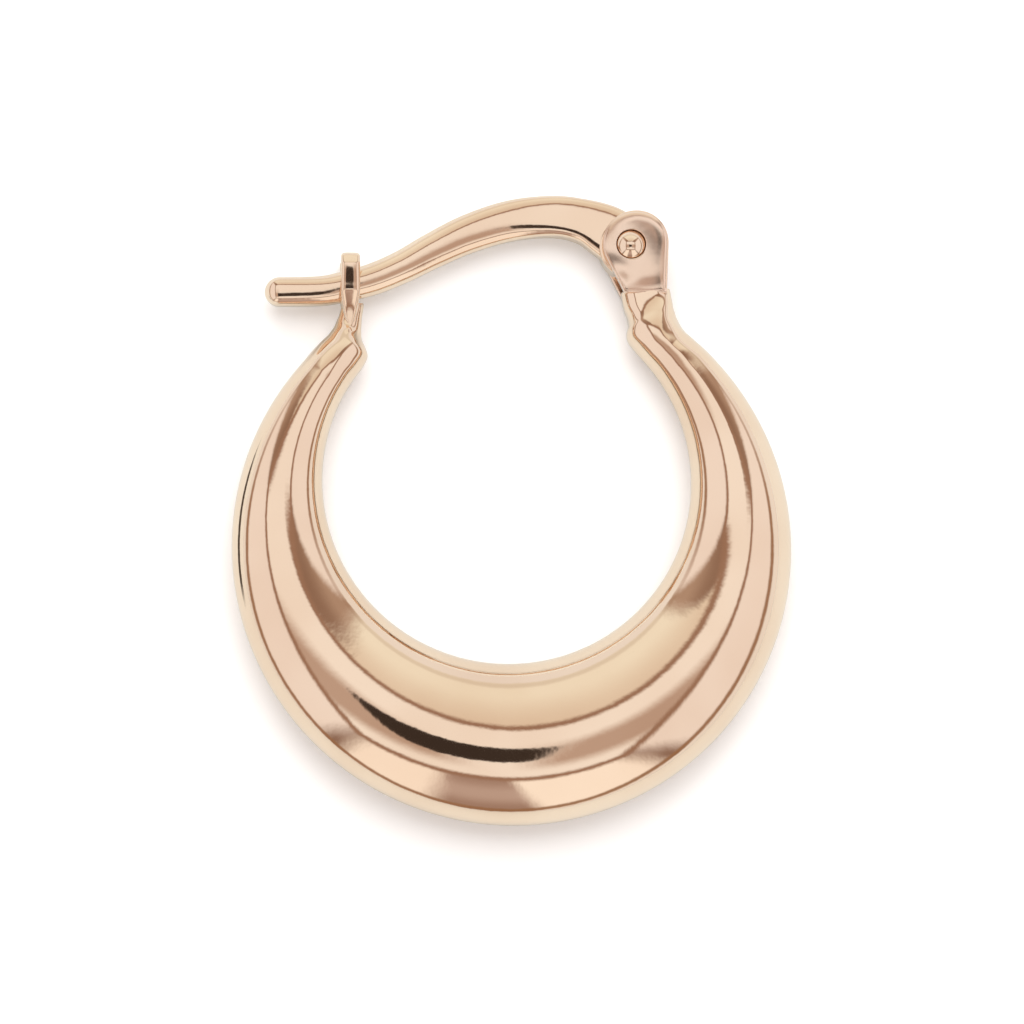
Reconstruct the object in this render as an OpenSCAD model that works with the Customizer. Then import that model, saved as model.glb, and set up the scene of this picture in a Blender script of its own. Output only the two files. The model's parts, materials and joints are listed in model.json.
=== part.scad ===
// Creole hoop earring: a hollow crescent hoop that is thick at the bottom and
// thin at its ends, a riveted hinge at one end, a forked catch at the other,
// and a bent ear wire that closes the ring and swings up on the rivet.
//
// The hoop is drawn in its own plane, x to the right, y up and z out of its
// face, with the origin at the centre of its outer circle. It is then laid on
// its side: it rests on the belly of the crescent and on the catch and rivet.

/* [Hoop] */
// Radius of the circle that the outside of the hoop follows
hoop_outer_r = 9.33; // [9.2:0.05:9.6]
// Radius of the circle that the inside of the hoop follows
hoop_inner_r = 6.15; // [5.9:0.05:6.25]
// How far the inner circle sits above the centre of the outer one
inner_rise = 2.21; // [2.1:0.05:2.4]
// How far the inner circle sits to the left of the centre of the outer one
inner_shift = 0.165; // [0:0.01:0.3]
// Depth of the tube at the thick bottom of the crescent
belly_depth = 3.50; // [3.3:0.05:3.8]
// Depth of the tube where the crescent meets its necks
end_depth = 2.10; // [1.8:0.05:2.2]
// Thickness of the sheet that the hollow tube is made of
wall = 0.20; // [0.15:0.01:0.3]

/* [Hinge] */
// Place of the hinge pin, to the right of the hoop's centre
pin_x = 3.97; // [3.9:0.01:4.05]
// Place of the hinge pin, above the hoop's centre
pin_y = 10.14; // [10:0.01:10.2]
// Radius of the pin's shank
pin_r = 0.38; // [0.3:0.01:0.4]
// Radius of the pin's domed heads
pin_head_r = 0.47; // [0.45:0.01:0.52]
// How far each head stands out from the face of its plate
pin_head_rise = 0.20; // [0.15:0.01:0.25]
// Radius of the round head of the hinge plates
plate_head_r = 1.10; // [1.05:0.01:1.2]
// Thickness of each hinge plate
plate_t = 0.36; // [0.3:0.01:0.45]
// Thickness of the ear wire's flat knuckle between the plates
knuckle_t = 0.90; // [0.8:0.01:1]
// Radius of the ear wire's knuckle
knuckle_r = 1.05; // [1:0.01:1.1]

/* [Catch] */
// Place of the catch, to the left of the hoop's centre
catch_x = 5.42; // [5.35:0.01:5.5]
// Width of the two prongs, along the ear wire
prong_w = 0.64; // [0.5:0.01:0.8]
// Thickness of each prong
prong_t = 0.50; // [0.4:0.01:0.55]
// Height of the prongs' tips above the hoop's centre
prong_top = 9.79; // [9.5:0.01:10]
// Height of the fork's seat, just under the ear wire
fork_seat = 8.13; // [8:0.01:8.15]

/* [Ear wire] */
// Thickness of the ear wire at its rounded tip
wire_tip_d = 0.98; // [0.85:0.01:1]
// Thickness of the ear wire at the top of its arch
wire_crest_d = 1.38; // [1.2:0.01:1.45]

/* [Fits] */
// Gap between the pin's shank and the knuckle's bore
swing_gap = 0.05; // [0.03:0.01:0.08]
// Gap that keeps fixed pieces apart, as where the pin passes its plates
fixed_gap = 0.01; // [0.01:0.01:0.02]
// Gap on each side of the knuckle and of the wire in its fork
side_gap = 0.04; // [0.03:0.01:0.06]

/* [Hidden] */

rose_gold = "#E3B797";
$fn = 48;
// A length that lets one solid reach into the next, so that they fuse
overlap = 0.05;

// Where the crescent ends and its necks begin, in degrees from the bottom
left_end = -126;
right_end = 136;
body_rings = 58;
neck_steps = 2;
ring_sides = 32;
cavity_rings = 44;
cavity_sides = 20;

outer_centre = [0, 0];
inner_centre = [-inner_shift, inner_rise];
mid_centre = (outer_centre + inner_centre) / 2;

// Half depths of the hinge, of its slot, of the catch and of its slot
gap_half = knuckle_t / 2 + side_gap;
hinge_half = gap_half + plate_t;
fork_gap_half = wire_tip_d / 2 + 1.5 * side_gap;
fork_half = fork_gap_half + prong_t;

// Centre of the round head of the hinge plates, a little off the pin
plate_head = [pin_x + 0.16, pin_y + 0.06];
// The two points where the plates' edges end, inside the hoop's neck
plate_foot_left = [3.75, 8.50];
plate_foot_right = [5.18, 8.50];
// Free room round the knuckle, and depth of the recess of each pin head
knuckle_room = 0.15;
recess_depth = 0.05;

// Rounding of the prongs' corners, and the narrow foot of each prong
prong_corner = 0.12;
prong_foot_w = 0.36;
prong_foot_y = 7.45;
// Below this height the fork's faces slope back to its foot, of this half depth
fork_bend_y = 8.50;
fork_foot_half = 0.34;
// Half depth of each neck where it meets its fitting
catch_neck_half = 0.36;
hinge_neck_half = 0.74;
// Squareness of each neck's section there: 2 is an oval
catch_neck_square = 2;
hinge_neck_square = 3.2;

// Helpers that any of the pieces uses

function mix(a, b, t) = a + (b - a) * t;
function unit(v) = v / norm(v);
function down_angle(angle) = [sin(angle), -cos(angle)];

// Points on an arc, from one angle to the other
function arc(centre, radius, from, to, steps) = [
    for (i = [0:steps])
        let (a = mix(from, to, i / steps))
            centre + radius * [cos(a), sin(a)]
];

// A value between rows b and c, on the smooth curve through a, b, c and d
function through(a, b, c, d, t) =
    0.5 * (2 * b + (c - a) * t + (2 * a - 5 * b + 4 * c - d) * t * t
    + (3 * b - a - 3 * c + d) * t * t * t);

// Rows of a table, with new rows set smoothly between them
function smooth_rows(rows, steps) =
    let (last = len(rows) - 1)
    [
        for (i = [0:last - 1], k = [0:steps - 1])
            through(rows[max(i - 1, 0)], rows[i], rows[i + 1],
                    rows[min(i + 2, last)], k / steps),
        rows[last]
    ];

// A point on a ring of half size 1. Squareness 2 gives a circle, and a higher
// value gives flatter sides.
function squared(a, squareness) =
    let (sum = pow(abs(cos(a)), squareness) + pow(abs(sin(a)), squareness))
        [cos(a), sin(a)] / pow(sum, 1 / squareness);

// A closed skin over rings that all have the same number of points, each ring
// wound so that its corners run clockwise to an eye that looks along the sweep
module skin(rings) {
    sides = len(rings[0]);
    last = len(rings) - 1;
    points = [for (ring = rings) for (p = ring) p];
    walls = [
        for (i = [0:last - 1], j = [0:sides - 1])
            let (k = (j + 1) % sides, a = i * sides, b = (i + 1) * sides)
                each [[a + j, b + k, b + j], [a + j, a + k, b + k]]
    ];
    first_cap = [for (j = [sides - 1:-1:0]) j];
    last_cap = [for (j = [0:sides - 1]) last * sides + j];
    polyhedron(points = points, faces = concat(walls, [first_cap, last_cap]));
}

// The crescent tube and its necks. A section is [inner, outer, half_depth,
// squareness]: the two points where it meets the outline, and its shape.

// How far a ray from the middle centre runs before it meets a circle
function ray_to(circle_centre, radius, ray) =
    let (off = circle_centre - mid_centre, along = off * ray)
        along + sqrt(radius * radius - off * off + along * along);

function body_half_width(angle) =
    let (ray = down_angle(angle))
        (ray_to(outer_centre, hoop_outer_r, ray)
         - ray_to(inner_centre, hoop_inner_r, ray)) / 2;

belly_half_width = body_half_width(0);
end_half_width = body_half_width(left_end);

function body_section(angle) =
    let (
        ray = down_angle(angle),
        inner = mid_centre + ray * ray_to(inner_centre, hoop_inner_r, ray),
        outer = mid_centre + ray * ray_to(outer_centre, hoop_outer_r, ray),
        half_width = norm(outer - inner) / 2,
        fullness = (half_width - end_half_width) / (belly_half_width - end_half_width)
    )
        [inner, outer, mix(end_depth, belly_depth, fullness) / 2, 2];

// A neck grows out of the crescent's end and turns up to meet its fitting.
// Columns of its rows: x and y on the inner edge, x and y on the outer edge.
// Each edge is shifted to start on the crescent and to end at the fitting.
catch_neck_top = [
    [-catch_x + 0.46, 8.18], [-catch_x - 0.30, 8.04], catch_neck_half, catch_neck_square
];
catch_neck_rows = [
    [-5.59, 5.11, -7.02, 6.15],
    [-5.29, 5.60, -6.72, 6.52],
    [-5.00, 6.00, -6.42, 6.86],
    [-4.82, 6.38, -6.19, 7.08],
    [-4.88, 6.67, -6.04, 7.27],
    [-5.01, 6.95, -5.94, 7.42],
    [-5.04, 7.27, -5.86, 7.58],
    [-5.01, 7.68, -5.78, 7.78],
    [-4.96, 8.18, -5.72, 8.04]
];
hinge_neck_top = [[3.67, 8.58], [5.31, 8.70], hinge_neck_half, hinge_neck_square];
hinge_neck_rows = [
    [4.66, 6.02, 5.86, 7.26],
    [4.40, 6.33, 5.67, 7.50],
    [4.09, 6.70, 5.56, 7.73],
    [3.90, 6.98, 5.49, 7.93],
    [3.86, 7.24, 5.43, 8.10],
    [3.91, 7.50, 5.40, 8.26],
    [3.87, 7.79, 5.37, 8.41],
    [3.74, 8.13, 5.34, 8.56],
    [3.67, 8.58, 5.31, 8.70]
];

function row_point(row, column) = [row[column], row[column + 1]];

function neck_point(rows, column, start, top, i) =
    let (
        last = len(rows) - 1,
        first_shift = start - row_point(rows[0], column),
        last_shift = top - row_point(rows[last], column)
    )
        row_point(rows[i], column) + mix(first_shift, last_shift, i / last);

function neck_sections(end_angle, top, table) =
    let (
        start = body_section(end_angle),
        rows = smooth_rows(table, neck_steps),
        last = len(rows) - 1
    )
    [
        for (i = [1:last])
            let (t = i / last, share = t * t * (3 - 2 * t))
                [
                    neck_point(rows, 0, start[0], top[0], i),
                    neck_point(rows, 2, start[1], top[1], i),
                    mix(start[2], top[2], share),
                    mix(start[3], top[3], share)
                ]
    ];

function hoop_sections() =
    let (catch_neck = neck_sections(left_end, catch_neck_top, catch_neck_rows))
    [
        for (i = [len(catch_neck) - 1:-1:0])
            catch_neck[i],
        for (i = [0:body_rings])
            body_section(mix(left_end, right_end, i / body_rings)),
        each neck_sections(right_end, hinge_neck_top, hinge_neck_rows)
    ];

// The ring of points round a section, less a margin all round
function section_ring(section, margin, sides) =
    let (
        centre = (section[0] + section[1]) / 2,
        half_width = norm(section[1] - section[0]) / 2 - margin,
        outward = unit(section[1] - section[0]),
        half_depth = section[2] - margin
    )
    [
        for (j = [0:sides - 1])
            let (
                q = squared(360 * j / sides, section[3]),
                p = centre + outward * half_width * q[0]
            )
                [p[0], p[1], half_depth * q[1]]
    ];

module tube() {
    skin([for (s = hoop_sections()) section_ring(s, 0, ring_sides)]);
}

module tube_cavity() {
    skin([
        for (i = [0:cavity_rings])
            section_ring(body_section(mix(left_end, right_end, i / cavity_rings)),
                         wall, cavity_sides)
    ]);
}

// Hinge plates

function tangent_angle(point, centre, radius, turn) =
    let (d = point - centre)
        atan2(d[1], d[0]) + turn * acos(radius / norm(d));

module plate_outline() {
    from = tangent_angle(plate_foot_right, plate_head, plate_head_r, 1);
    to = tangent_angle(plate_foot_left, plate_head, plate_head_r, -1) + 360;
    polygon(concat(arc(plate_head, plate_head_r, from, to, 40),
                   [plate_foot_left, plate_foot_right]));
}

// Two plates over a solid foot, with a round-bottomed slot for the knuckle
module hinge_block() {
    difference() {
        linear_extrude(height = 2 * hinge_half, center = true)
            plate_outline();
        translate([pin_x, pin_y, -gap_half]) {
            cylinder(h = 2 * gap_half, r = knuckle_r + knuckle_room);
            translate([-2 * plate_head_r, -knuckle_r / 2, 0])
                cube([4 * plate_head_r, 3 * plate_head_r, 2 * gap_half]);
        }
    }
}

// The pin's hole, with a shallow round recess for each of its heads
module pin_holes() {
    translate([pin_x, pin_y, 0]) {
        cylinder(h = 3 * hinge_half, r = pin_r + fixed_gap, center = true);
        for (side = [-1, 1])
            translate([0, 0, side * hinge_half])
                cylinder(h = 2 * recess_depth, r = pin_head_r + 2 * fixed_gap, center = true);
    }
}

// Forked catch

// A bar with rounded top corners that tapers to a narrow foot in the neck
module prong_outline() {
    half = prong_w / 2;
    corner_y = prong_top - prong_corner;
    polygon(concat(
        arc([-catch_x + half - prong_corner, corner_y], prong_corner, 0, 90, 6),
        arc([-catch_x - half + prong_corner, corner_y], prong_corner, 90, 180, 6),
        [
            [-catch_x - half, fork_seat],
            [-catch_x - prong_foot_w / 2, prong_foot_y],
            [-catch_x + prong_foot_w / 2, prong_foot_y],
            [-catch_x + half, fork_seat]
        ]
    ));
}

// The fork seen from its side: straight prongs over a foot that grows thinner
module fork_side_outline() {
    polygon([
        [prong_foot_y, fork_foot_half],
        [fork_bend_y, fork_half],
        [prong_top, fork_half],
        [prong_top, -fork_half],
        [fork_bend_y, -fork_half],
        [prong_foot_y, -fork_foot_half]
    ]);
}

// Two prongs over a solid foot, with a round-bottomed slot for the ear wire
module catch_fork() {
    difference() {
        intersection() {
            linear_extrude(height = 2 * fork_half, center = true)
                prong_outline();
            translate([-catch_x, 0, 0])
                rotate([90, 0, 90])
                    linear_extrude(height = 2 * prong_w, center = true)
                        fork_side_outline();
        }
        translate([-catch_x, fork_seat + fork_gap_half, 0]) {
            rotate([0, 90, 0])
                cylinder(h = 2 * prong_w, r = fork_gap_half, center = true);
            translate([-prong_w, 0, -fork_gap_half])
                cube([2 * prong_w, prong_top, 2 * fork_gap_half]);
        }
    }
}

// Hinge pin with a low dome at each end

module pin_dome() {
    rise = pin_head_rise + recess_depth - fixed_gap;
    dome_r = (pin_head_r * pin_head_r + rise * rise) / (2 * rise);
    intersection() {
        translate([0, 0, rise - dome_r])
            sphere(r = dome_r);
        cylinder(h = 2 * rise, r = pin_head_r);
    }
}

module pin_solid() {
    seat = hinge_half - recess_depth + fixed_gap;
    translate([pin_x, pin_y, 0]) {
        cylinder(h = 2 * (seat + overlap), r = pin_r, center = true);
        translate([0, 0, seat])
            pin_dome();
        mirror([0, 0, 1])
            translate([0, 0, seat])
                pin_dome();
    }
}

// Ear wire, from its tip to its knuckle. Columns: how far left of the pin,
// how far above the pin, height, depth and squareness of the section.
wire_rows = [
    [11.75, -1.57, wire_tip_d, wire_tip_d, 3.1],
    [10.40, -1.53, 1.00, wire_tip_d, 3.2],
    [9.60, -1.38, 1.04, wire_tip_d, 3.2],
    [8.60, -1.10, 1.08, 0.97, 3.0],
    [7.60, -0.66, 1.12, 0.96, 2.9],
    [6.60, -0.11, 1.21, 0.95, 2.9],
    [5.40, 0.47, 1.31, 0.94, 3.1],
    [4.00, 0.92, wire_crest_d, 0.93, 3.8],
    [2.60, 1.07, wire_crest_d, 0.92, 4.6],
    [1.60, 0.93, 1.46, 0.90, 5.0],
    [0.85, 0.62, 1.74, 0.87, 5.0],
    [0.20, 0.20, 1.84, 0.84, 5.0]
];
// The row at which the arch is highest
crest_row = 8;
wire_steps = 4;
wire_sides = 24;
// The rounded tip: its rings, and the angle of the first and smallest one
tip_rings = 4;
tip_start = 12;

function wire_place(row) = [pin_x - row[0], pin_y + row[1]];

function wire_ring(centre, along, height, depth, squareness) =
    let (across = [-along[1], along[0]])
    [
        for (j = [0:wire_sides - 1])
            let (
                q = squared(360 * j / wire_sides, squareness),
                p = centre + across * height / 2 * q[0]
            )
                [p[0], p[1], -depth / 2 * q[1]]
    ];

function wire_rings() =
    let (
        rows = smooth_rows(wire_rows, wire_steps),
        last = len(rows) - 1,
        tip = wire_place(rows[0]),
        tip_way = unit(wire_place(rows[1]) - tip)
    )
    [
        for (i = [0:tip_rings - 1])
            let (a = mix(tip_start, 90, i / tip_rings))
                wire_ring(tip - tip_way * rows[0][2] / 2 * cos(a), tip_way,
                          rows[0][2] * sin(a), rows[0][3] * sin(a), rows[0][4]),
        for (i = [0:last])
            let (way = unit(wire_place(rows[min(i + 1, last)])
                            - wire_place(rows[max(i - 1, 0)])))
                wire_ring(wire_place(rows[i]), way, rows[i][2], rows[i][3], rows[i][4])
    ];

module wire_solid() {
    difference() {
        union() {
            skin(wire_rings());
            translate([pin_x, pin_y, 0])
                cylinder(h = knuckle_t, r = knuckle_r, center = true);
        }
        translate([pin_x, pin_y, 0])
            cylinder(h = 2 * knuckle_t, r = pin_r + swing_gap, center = true);
    }
}

// How the earring lies on its side: the belly of the crescent is deeper than
// the catch and the rivet, so the ring tips until these touch the surface too

belly = body_section(0);
belly_y = (belly[0][1] + belly[1][1]) / 2;
belly_half_depth = belly[2];
rest_half = hinge_half + pin_head_rise;

// How far a section reaches below the middle of the belly, when the ring tips
function section_reach(section, tip) =
    let (
        middle = (section[0][1] + section[1][1]) / 2,
        half_height = (section[1][1] - section[0][1]) / 2
    )
        (middle - belly_y) * sin(tip)
        + norm([half_height * sin(tip), section[2] * cos(tip)]);
function belly_reach(tip) =
    max([for (angle = [-40:2:40]) section_reach(body_section(angle), tip)]);
function rest_tip(guess, rounds) =
    rounds == 0 ? guess
    : rest_tip(asin((belly_reach(guess) - rest_half * cos(guess)) / (pin_y - belly_y)),
               rounds - 1);

tip_angle = rest_tip(2, 6);
rest_height = belly_y * sin(tip_angle) + belly_reach(tip_angle);
crest_y = pin_y + wire_rows[crest_row][1] + wire_crest_d / 2;
bottom_y = belly_y * cos(tip_angle)
    - norm([belly_half_width * cos(tip_angle), belly_half_depth * sin(tip_angle)]);
middle_y = (crest_y * cos(tip_angle) + bottom_y) / 2;

module lay_down() {
    translate([0, -middle_y, rest_height])
        rotate([-tip_angle, 0, 0])
            children();
}

module hoop() {
    color(rose_gold)
        lay_down()
            difference() {
                union() {
                    tube();
                    hinge_block();
                    catch_fork();
                }
                tube_cavity();
                pin_holes();
            }
}

module hinge_pin() {
    color(rose_gold)
        lay_down()
            pin_solid();
}

module ear_wire() {
    color(rose_gold)
        lay_down()
            wire_solid();
}

hoop();
hinge_pin();
ear_wire();
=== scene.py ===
# %% [markdown]
# A rose gold creole earring lies on its side on a pale surface. It is a hollow
# crescent tube that is thick at the bottom and thin at its two ends. A riveted
# hinge sits on one end, a forked catch on the other, and a bent ear wire closes
# the ring. Polished metal has hardly any colour of its own: nearly all that the
# eye sees in it is the room. So this lesson builds the room first, and then the
# shapes that bend the room's reflection.

import json
from math import acos, atan2, cos, exp, pi, radians, sin, sqrt

import bmesh
import bpy
from mathutils import Matrix, Vector
from mathutils.noise import noise as noise_at


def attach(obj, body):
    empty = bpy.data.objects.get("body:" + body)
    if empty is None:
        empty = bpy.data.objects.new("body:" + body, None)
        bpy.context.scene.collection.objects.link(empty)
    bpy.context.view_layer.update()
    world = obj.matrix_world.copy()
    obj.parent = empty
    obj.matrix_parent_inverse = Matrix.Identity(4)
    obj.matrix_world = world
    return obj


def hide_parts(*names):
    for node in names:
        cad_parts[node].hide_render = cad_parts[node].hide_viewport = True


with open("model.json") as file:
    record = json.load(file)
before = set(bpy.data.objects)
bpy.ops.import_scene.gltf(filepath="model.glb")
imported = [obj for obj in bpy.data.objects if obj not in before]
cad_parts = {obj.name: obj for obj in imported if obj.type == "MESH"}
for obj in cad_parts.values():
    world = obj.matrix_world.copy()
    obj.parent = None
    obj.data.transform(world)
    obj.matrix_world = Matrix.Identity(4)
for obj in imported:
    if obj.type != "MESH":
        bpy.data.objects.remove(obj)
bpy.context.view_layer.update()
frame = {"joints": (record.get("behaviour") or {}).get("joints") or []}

# %% [markdown]
# The shapes are easiest to draw in the hoop's own plane, in millimetres: x to
# the right, y up towards the ear wire and z out of the hoop's face. The hoop
# then lies down by a small tip, because the thick belly of the crescent and the
# thinner catch and rivet touch the surface together. The hinge's axis in the
# frame tells how far it tips and how high it rests.

# %% From the hoop's own plane to the frame
MM = 0.001
PIN_X = 3.97
PIN_Y = 10.14

hinge = frame["joints"][0]
hinge_axis = Vector(hinge["axis"])
hinge_place = Vector(hinge["pos_m"]) / MM
tip = atan2(-hinge_axis.y, -hinge_axis.z)
middle_y = PIN_Y * cos(tip) - hinge_place.y
rest_height = hinge_place.z + PIN_Y * sin(tip)

turn_down = Matrix.Rotation(-tip, 4, "X")
lay_down = Matrix.Translation((0, -middle_y, rest_height)) @ turn_down
to_frame = Matrix.Scale(MM, 4) @ lay_down
print("tip in degrees:", round(tip * 180 / pi, 3), "rest height in mm:", round(rest_height, 3))

# %% [markdown]
# A long lens from far away keeps the ring's shape true, which is how jewellery
# is photographed. The camera looks at the hoop's face from a little below and a
# little to the left of square on.

# %% Camera
CAMERA_LEAN = radians(9)
CAMERA_TURN = radians(3)
CAMERA_DISTANCE = 200
VIEW_WIDTH = 34.13
SENSOR_WIDTH = 36
AIM = Vector((0, 1.17, 0))

toward_camera = Vector((
    -sin(CAMERA_TURN) * cos(CAMERA_LEAN),
    -sin(CAMERA_LEAN),
    cos(CAMERA_TURN) * cos(CAMERA_LEAN),
))
eye_back = (turn_down.to_3x3() @ toward_camera).normalized()
eye_right = Vector((0, 1, 0)).cross(eye_back).normalized()
eye_up = eye_back.cross(eye_right)

camera_data = bpy.data.cameras.new("camera")
camera_data.lens = SENSOR_WIDTH * CAMERA_DISTANCE / VIEW_WIDTH
camera_data.sensor_width = SENSOR_WIDTH
camera_data.clip_start = 0.01
camera_data.clip_end = 10
camera = bpy.data.objects.new("camera", camera_data)
bpy.context.scene.collection.objects.link(camera)
bpy.context.scene.camera = camera

camera_spot = (lay_down @ AIM + eye_back * CAMERA_DISTANCE) * MM
turned = Matrix((eye_right, eye_up, eye_back)).transposed().to_4x4()
camera.matrix_world = Matrix.Translation(camera_spot) @ turned
print("camera above level, degrees:", round(90 - acos(eye_back.z) * 180 / pi, 1))

# %% [markdown]
# Every shader and shape below is a small graph of nodes. These helpers add a
# node, do one sum, or blend two colours, and hand back the socket that carries
# the result, so that a graph reads like a formula.

# %% Helpers for node graphs
def join(tree, value, socket):
    if isinstance(value, bpy.types.NodeSocket):
        tree.links.new(value, socket)
    elif value is not None:
        socket.default_value = value


def add_node(tree, kind, **settings):
    node = tree.nodes.new(kind)
    for name, value in settings.items():
        setattr(node, name, value)
    return node


def calc(tree, operation, first, second=None, third=None):
    node = add_node(tree, "ShaderNodeMath", operation=operation)
    for value, socket in zip((first, second, third), node.inputs):
        join(tree, value, socket)
    return node.outputs[0]


def vector_calc(tree, operation, first, second=None, scale=None):
    node = add_node(tree, "ShaderNodeVectorMath", operation=operation)
    join(tree, first, node.inputs[0])
    if second is not None:
        join(tree, second, node.inputs[1])
    if scale is not None:
        join(tree, scale, node.inputs[3])
    return node.outputs["Value" if operation in ("DOT_PRODUCT", "LENGTH") else "Vector"]


def fade(tree, value, start, end):
    """0 where value is at start, 1 where it is at end, and smooth between"""
    node = add_node(tree, "ShaderNodeMapRange", interpolation_type="SMOOTHSTEP")
    join(tree, value, node.inputs["Value"])
    low, high = min(start, end), max(start, end)
    node.inputs["From Min"].default_value = low
    node.inputs["From Max"].default_value = high
    node.inputs["To Min"].default_value = 0 if start < end else 1
    node.inputs["To Max"].default_value = 1 if start < end else 0
    return node.outputs["Result"]


def blend_colours(tree, factor, first, second):
    node = add_node(tree, "ShaderNodeMix", data_type="RGBA")
    join(tree, factor, node.inputs[0])
    for value, socket in ((first, node.inputs[6]), (second, node.inputs[7])):
        join(tree, (*value, 1) if isinstance(value, tuple) else value, socket)
    return node.outputs[2]


# %% [markdown]
# Jewellery this shiny is photographed in a light tent: a box of white cloth with
# light outside it and a hole for the lens. The dark lines in the metal are the
# tent's seams, the black patch is the lens, and the plain bands are its cloth
# walls. The world shader paints that box on the sky, by direction only, so the
# tent stays where it is when the camera walks round the earring. A direction is
# first split into how far it runs ahead to the camera, across and upward.

# %% Directions in the light tent
LEAST = 0.001
# Where the front wall's edges lie, as slopes from the line to the camera
FRONT_LEFT = -0.565
FRONT_RIGHT = 0.570
FRONT_BOTTOM = -0.490
FRONT_TOP = 0.595
# On the right the front wall's top edge hangs lower, and this fades in by slope
TOP_SAG = 0.06
SAG_ACROSS = (0.14, 0.32)
SAG_UPWARD = (0.10, 0.40)

world = bpy.data.worlds.new("light_tent")
world.use_nodes = True
bpy.context.scene.world = world
sky = world.node_tree
sky.nodes.clear()

way = add_node(sky, "ShaderNodeTexCoord").outputs["Generated"]
ahead = vector_calc(sky, "DOT_PRODUCT", way, tuple(eye_back))
across = vector_calc(sky, "DOT_PRODUCT", way, tuple(eye_right))
upward = vector_calc(sky, "DOT_PRODUCT", way, tuple(eye_up))
slope_x = calc(sky, "DIVIDE", across, calc(sky, "MAXIMUM", ahead, LEAST))
slope_y = calc(sky, "DIVIDE", upward, calc(sky, "MAXIMUM", ahead, LEAST))


def from_front(measure, low, high):
    """How far a measure of the direction is from the front wall's middle, in half sizes"""
    centred = calc(sky, "MULTIPLY_ADD", ahead, -(low + high) / 2, measure)
    return calc(sky, "DIVIDE", centred, (high - low) / 2)


sag = calc(sky, "MULTIPLY", fade(sky, slope_x, *SAG_ACROSS), fade(sky, slope_y, *SAG_UPWARD))
sag = calc(sky, "MULTIPLY", sag, TOP_SAG)
raised = calc(sky, "MULTIPLY_ADD", sag, calc(sky, "MAXIMUM", ahead, 0.0), upward)
box_x = from_front(across, FRONT_LEFT, FRONT_RIGHT)
box_y = from_front(raised, FRONT_BOTTOM, FRONT_TOP)
size_x = calc(sky, "ABSOLUTE", box_x)
size_y = calc(sky, "ABSOLUTE", box_y)
side = calc(sky, "MAXIMUM", size_x, size_y)
largest = calc(sky, "MAXIMUM", side, ahead)
print("front wall, width and height as slopes:", FRONT_RIGHT - FRONT_LEFT, FRONT_TOP - FRONT_BOTTOM)

# %% [markdown]
# A direction meets the wall that it leans to most. The cloth is never one even
# white, because whatever stands near the tent shades it. So the cloth above
# turns greyer towards the camera, and the cloth below has a shaded patch in its
# middle.

# %% Walls, roof and bottom of the tent
SIDE_CLOTH = (0.965, 0.945, 0.96)
TOP_CLOTH_FAR = (0.97, 0.99, 0.91)
TOP_CLOTH_NEAR = (0.82, 0.745, 0.65)
TOP_NEARNESS = (0.40, 0.92)
BOTTOM_CLOTH = (1.08, 1.06, 1.03)
BOTTOM_SHADE = (0.40, 0.29, 0.25)
BOTTOM_GLOW = (0.56, 0.46, 0.43)
# The shaded patch's left and right edge, and where its middle is lighter
SHADE_LEFT = (-0.42, -0.22)
SHADE_RIGHT = (0.24, 0.12)
GLOW_FROM = (0.30, 0.65)
GLOW_TO = (0.92, 0.70)
WALL_BLEND = 0.02
# The roof is pitched, and it sits a little higher on the left
ROOF_PITCH = 0.32
LEFT_RISE = 1.1
ROOF_EDGE = (0.80, 1.10)

above = fade(sky, box_y, 0.0, WALL_BLEND)
below = calc(sky, "SUBTRACT", 1.0, above)
top_cloth = blend_colours(sky, fade(sky, ahead, *TOP_NEARNESS), TOP_CLOTH_FAR, TOP_CLOTH_NEAR)
slant = calc(sky, "DIVIDE", across, calc(sky, "MAXIMUM", calc(sky, "ABSOLUTE", upward), LEAST))
bottom_shade = calc(sky, "MULTIPLY", fade(sky, slant, *SHADE_LEFT), fade(sky, slant, *SHADE_RIGHT))
shade_glow = calc(sky, "MULTIPLY", fade(sky, ahead, *GLOW_FROM), fade(sky, ahead, *GLOW_TO))
shade_cloth = blend_colours(sky, shade_glow, BOTTOM_SHADE, BOTTOM_GLOW)
bottom_cloth = blend_colours(sky, bottom_shade, BOTTOM_CLOTH, shade_cloth)
end_cloth = blend_colours(sky, above, bottom_cloth, top_cloth)

leftward = calc(sky, "MULTIPLY", across, -LEFT_RISE)
wide = calc(sky, "MAXIMUM", calc(sky, "MAXIMUM", across, leftward), LEAST)
roof = calc(sky, "DIVIDE", calc(sky, "MULTIPLY_ADD", ahead, -ROOF_PITCH, upward), wide)
taller = fade(sky, calc(sky, "SUBTRACT", size_y, size_x), -WALL_BLEND, WALL_BLEND)
is_bottom = calc(sky, "MULTIPLY", taller, below)
is_top = calc(sky, "MULTIPLY", fade(sky, roof, *ROOF_EDGE), above)
is_end = calc(sky, "MAXIMUM", is_bottom, is_top)
walls = blend_colours(sky, is_end, SIDE_CLOTH, end_cloth)
print("wall nodes:", len(sky.nodes))

# %% [markdown]
# Dark flaps hang between the roof and the side walls, and they make the two long
# brown wedges in the upper half of the ring. Lower down, the walls are sewn
# together along slim seams at the corners.

# %% Flaps and corner seams of the tent
FLAP_NEAR = (0.31, 0.205, 0.155)
FLAP_FAR = (0.47, 0.35, 0.28)
FLAP_NEARNESS = (0.45, 0.80)
# How steep a direction must be to meet a flap, and where the roof takes over
FLAP_TILT = 0.12
FLAP_LOW = (0.88, 1.10)
FLAP_HIGH = (1.22, 0.92)
FLAP_UPWARD = (0.45, 0.54)
CORNER_SEAM = (0.30, 0.20, 0.16)
CORNER_WIDTH = 0.22
CORNER_NEARNESS = (0.80, 0.30)
CORNER_LEAST = 0.7

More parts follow.
